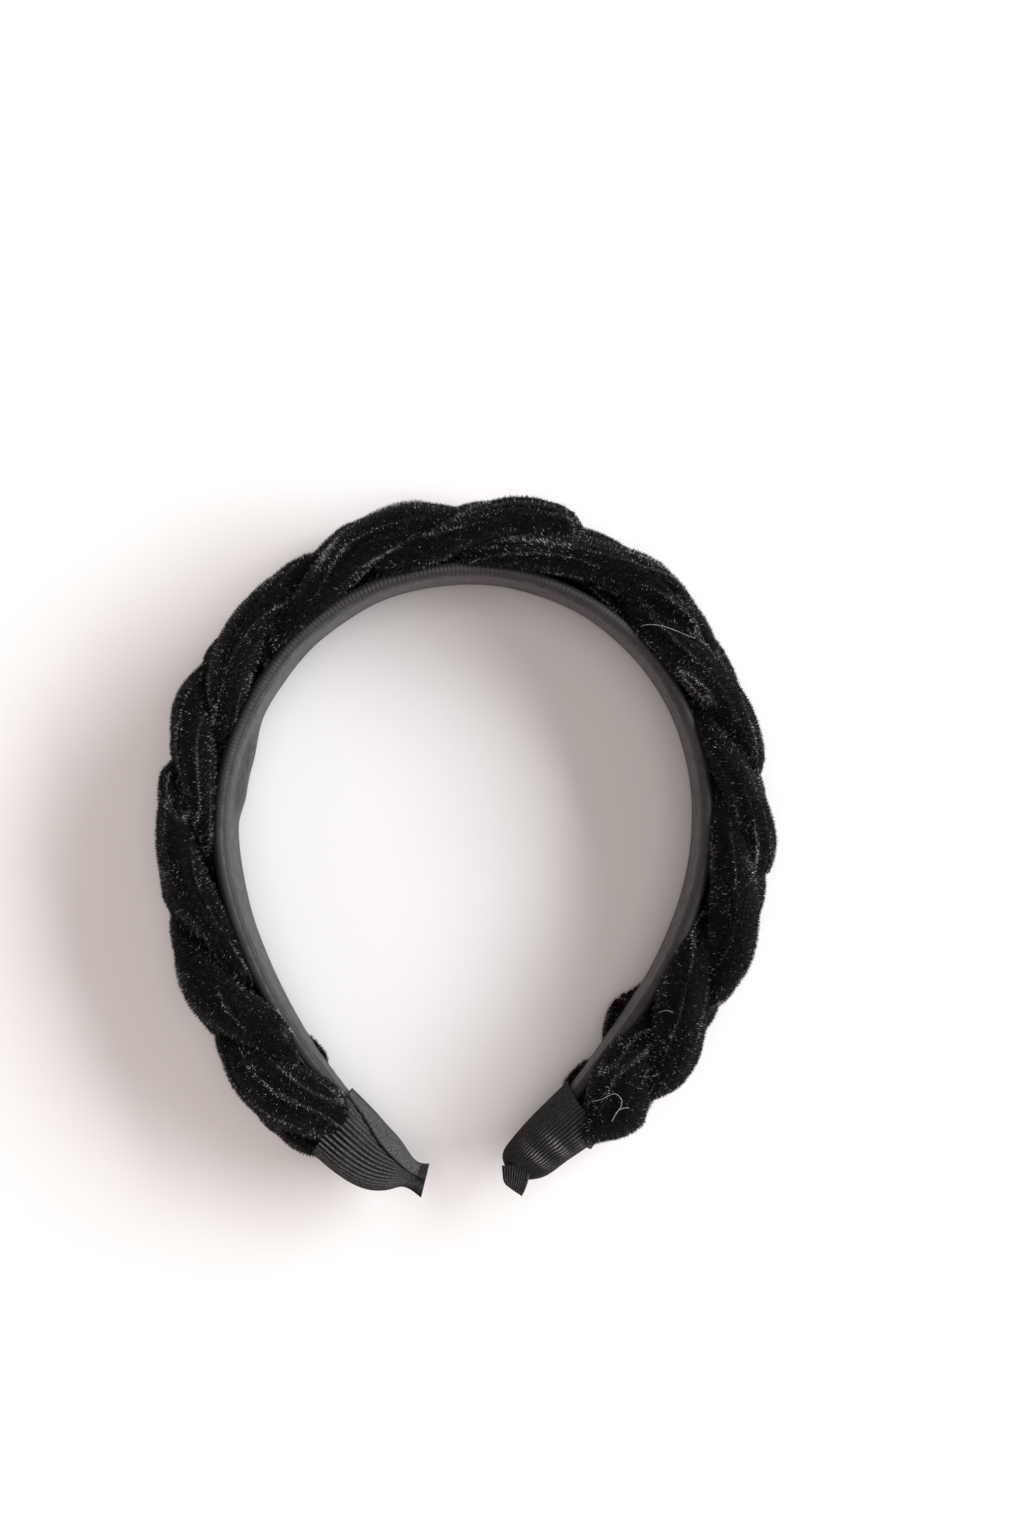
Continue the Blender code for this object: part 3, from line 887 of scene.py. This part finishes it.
def right_relief(share, around):
    """Close fine ribs, and two soft swells that catch the light, with painted highlights on the
    ribs and swells.
    """
    ribs = 0.5 - 0.5 * np.cos(TURN * CLOSE_RIBS * around)
    folds = bell(share, 0.44, 0.05) * bell(around, 0.27, 0.055)
    folds = folds + bell(share, 0.67, 0.045) * bell(around, 0.25, 0.075)
    folds = folds + 0.4 * bell(share, 0.22, 0.06) * bell(around, 0.32, 0.05)
    stand = 0.38 * (ribs - 1) + 0.55 * folds
    # Painted light: lighter rib tops, and painted highlights where the ribs cross the swells.
    light = 0.04 + 0.15 * ribs + folds * (1.5 * ribs**2 - 0.05)
    return stand, np.clip(light, 0.0, 1.0)


def make_tail(material):
    """The cut tail of the right ribbon, folded down over the tip."""
    left = smooth_path(TAIL_LEFT, TAIL_RINGS)
    right = smooth_path(TAIL_RIGHT, TAIL_RINGS)
    across = np.linspace(0.0, 1.0, TAIL_SIDES)
    top = left[:, None] + (right - left)[:, None] * across[None, :, None]
    ribs = np.cos(TURN * TAIL_RIBS * across)
    crown = 0.5 * np.sin(math.pi * across) + 0.20 * ribs
    crown = crown + 0.25 * eased((across - 0.93) / 0.05)
    top[..., 2] += crown
    under = top - np.array([0.0, 0.0, TAIL_THICKNESS])
    loop = np.concatenate([top, under[:, ::-1]], axis=1)
    rings, sides = loop.shape[:2]
    faces = grid_faces(rings, sides)[:, ::-1].tolist()
    faces.append(list(range(sides)))
    faces.append([(rings - 1) * sides + side for side in reversed(range(sides))])
    tail = piece("right_ribbon_tail", loop.reshape(-1, 3), faces, material)
    add_uv(tail, rings, sides, 14.0, 9.0)
    # Painted light: rib stripes and a painted highlight along the raised right edge; the underside
    # keeps 0.15.
    upper = 0.14 * ribs + 0.7 * eased((across - 0.93) / 0.04)
    light = 0.15 + np.concatenate([upper, np.zeros(TAIL_SIDES)])
    add_value(tail, "ridge_and_painted_light", np.broadcast_to(light, (rings, sides)))


# ---------------------------------------------------------------- loose threads


def tube_mesh(path, radius, sides=6):
    forward = unit(np.gradient(path, axis=0))
    side = unit(np.cross(forward, np.array([0.2, 0.1, 1.0])))
    other = np.cross(forward, side)
    angles = np.arange(sides) * TURN / sides
    ring = np.cos(angles)[:, None] * side[:, None] + np.sin(angles)[:, None] * other[:, None]
    points = path[:, None] + radius * ring
    return points.reshape(-1, 3), grid_faces(len(path), sides)


def laid_on(trees, plan, lift):
    """The plan points (x, y) dropped onto the highest skin below them, and lifted off it."""
    heights = []
    for x, y in plan:
        hits = [tree.ray_cast(Vector((x, y, 60.0)), Vector((0.0, 0.0, -1.0)))[0] for tree in trees]
        heights.append(max([hit.z for hit in hits if hit], default=SKIN_HEIGHT))
    return np.column_stack([plan, np.array(heights) + lift])


def make_threads(trees):
    """Stray sewing threads lying on the pile."""
    finish = Finish("pale_thread", (0.30, 0.30, 0.30), 0.5)
    parts, faces, count = [], [], 0
    for plan in LOOSE_THREADS:
        laid = laid_on(trees, smooth_path(plan, THREAD_POINTS), THREAD_LIFT)
        heights = np.pad(laid[:, 2], THREAD_SLACK // 2, mode="edge")
        laid[:, 2] = np.convolve(heights, np.ones(THREAD_SLACK) / THREAD_SLACK, mode="valid")
        points, sides = tube_mesh(laid, THREAD_RADIUS)
        parts.append(points)
        faces.append(sides + count)
        count += len(points)
    threads = piece("loose_threads", np.concatenate(parts), np.concatenate(faces), finish.material)


def make_lint(trees):
    """Specks of pale lint caught in the pile."""
    rng = np.random.default_rng(9)
    finish = Finish("pale_lint", (0.30, 0.30, 0.30), 0.9)
    corners, faces = [], []
    for _ in range(LINT_COUNT):
        along = rng.uniform(-165.0, 165.0)
        spot = LINE.place(np.array(along), 0.0, rng.uniform(4.0, 15.0))
        x, y, z = laid_on(trees, spot[None, :2], LINT_LIFT)[0]
        size = rng.uniform(0.08, 0.26)
        turn = rng.uniform(0.0, TURN, 3)
        for angle in turn:
            reach = size * rng.uniform(0.5, 1.0)
            rise = rng.uniform(-0.1, 0.1)
            corners.append((x + reach * math.cos(angle), y + reach * math.sin(angle), z + rise))
        faces.append([len(corners) - 3, len(corners) - 2, len(corners) - 1])
    lint = piece("lint_specks", np.array(corners), faces, finish.material, smooth=False)


# ---------------------------------------------------------------- hidden parts and setting


def dress_hidden_parts(nodes):
    """The CAD solids that stay: they are all inside, and still get their own finishes."""
    plastic = plain_fibre("grey_plastic", (0.20, 0.20, 0.21), 0.4, 300.0)
    glue = plain_fibre("clear_glue", (0.020, 0.018, 0.016), 0.3, 500.0)
    thread = plain_fibre("black_thread", (0.010, 0.010, 0.010), 0.8, 2500.0)
    finishes = {"spring_band": plastic, "glue_strip": glue}
    finishes |= {"left_tip_glue": glue, "right_tip_glue": glue}
    finishes |= {"left_end_binding": thread, "right_end_binding": thread}
    for name, material in finishes.items():
        nodes[name].data.materials.clear()
        nodes[name].data.materials.append(material)


def make_floor():
    finish = Finish("pale_sweep", (0.90, 0.89, 0.885), 0.85)
    finish.set("Specular IOR Level", 0.2)
    finish.paint(finish.ramp(finish.noise(14.0), (0.895, 0.885, 0.88), (0.905, 0.897, 0.893)))
    mesh = bpy.data.meshes.new("floor")
    mesh.from_pydata([(-6, -6, 0), (6, -6, 0), (6, 6, 0), (-6, 6, 0)], [], [(0, 1, 2, 3)])
    mesh.materials.append(finish.material)
    floor = bpy.data.objects.new("floor", mesh)
    floor.location.z = -0.0001
    bpy.context.scene.collection.objects.link(floor)


def add_light(name, place, target, size, power, colour):
    data = bpy.data.lights.new(name, "AREA")
    data.shape = "RECTANGLE"
    data.size, data.size_y = size
    data.energy = power
    data.color = colour
    light = bpy.data.objects.new(name, data)
    light.location = place
    aim = Vector(target) - Vector(place)
    light.rotation_euler = aim.to_track_quat("-Z", "Y").to_euler()
    bpy.context.scene.collection.objects.link(light)


def make_setting():
    scene = bpy.context.scene
    make_floor()
    add_light("window", (2.38, 0.73, 1.68), (0.0, 0.0, 0.0), (2.93, 1.28), 117.0, (0.95, 1.0, 1.04))
    add_light("ceiling", (0.0, 0.0, 3.0), (0.0, 0.0, 0.0), (1.95, 1.95), 27.0, (1.06, 0.94, 0.90))
    world = bpy.data.worlds.new("studio")
    world.use_nodes = True
    nodes, links = world.node_tree.nodes, world.node_tree.links
    background = nodes["Background"]
    background.inputs["Color"].default_value = (1.0, 0.89, 0.85, 1.0)
    height = nodes.new("ShaderNodeSeparateXYZ")
    links.new(nodes.new("ShaderNodeTexCoord").outputs["Generated"], height.inputs["Vector"])
    glow = nodes.new("ShaderNodeMapRange")
    glow.interpolation_type = "SMOOTHSTEP"
    glow.inputs["From Min"].default_value = 0.16
    glow.inputs["From Max"].default_value = 0.30
    glow.inputs["To Min"].default_value = 3.4
    glow.inputs["To Max"].default_value = 0.25
    links.new(height.outputs["Z"], glow.inputs["Value"])
    links.new(glow.outputs["Result"], background.inputs["Strength"])
    scene.world = world
    scene.view_settings.view_transform = "Standard"

    data = bpy.data.cameras.new("camera")
    data.sensor_width = 36.0
    data.lens = 50.0
    camera = bpy.data.objects.new("camera", data)
    camera.location = (0.01225, 0.01995, 0.551)
    scene.collection.objects.link(camera)
    scene.camera = camera


def main():
    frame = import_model()
    make_setting()
    dress_hidden_parts(frame["nodes"])
    lining = make_lining()
    trees = make_plait(lining)
    # Each ribbon's dark and light colours are the two ends of its painted light and shade.
    left = ribbon_grosgrain("left_grosgrain", (0.0026, 0.0025, 0.0028), (0.150, 0.146, 0.152))
    right = ribbon_grosgrain("right_grosgrain", (0.0028, 0.0027, 0.0030), (0.225, 0.222, 0.232))
    make_wrap("left_ribbon", "left_ribbon_wrap", LEFT_WRAP, left_relief, left, True)
    make_wrap("right_ribbon", "right_ribbon_wrap", RIGHT_WRAP, right_relief, right, False)
    make_tail(right)
    make_threads(trees)
    make_lint(trees)


main()
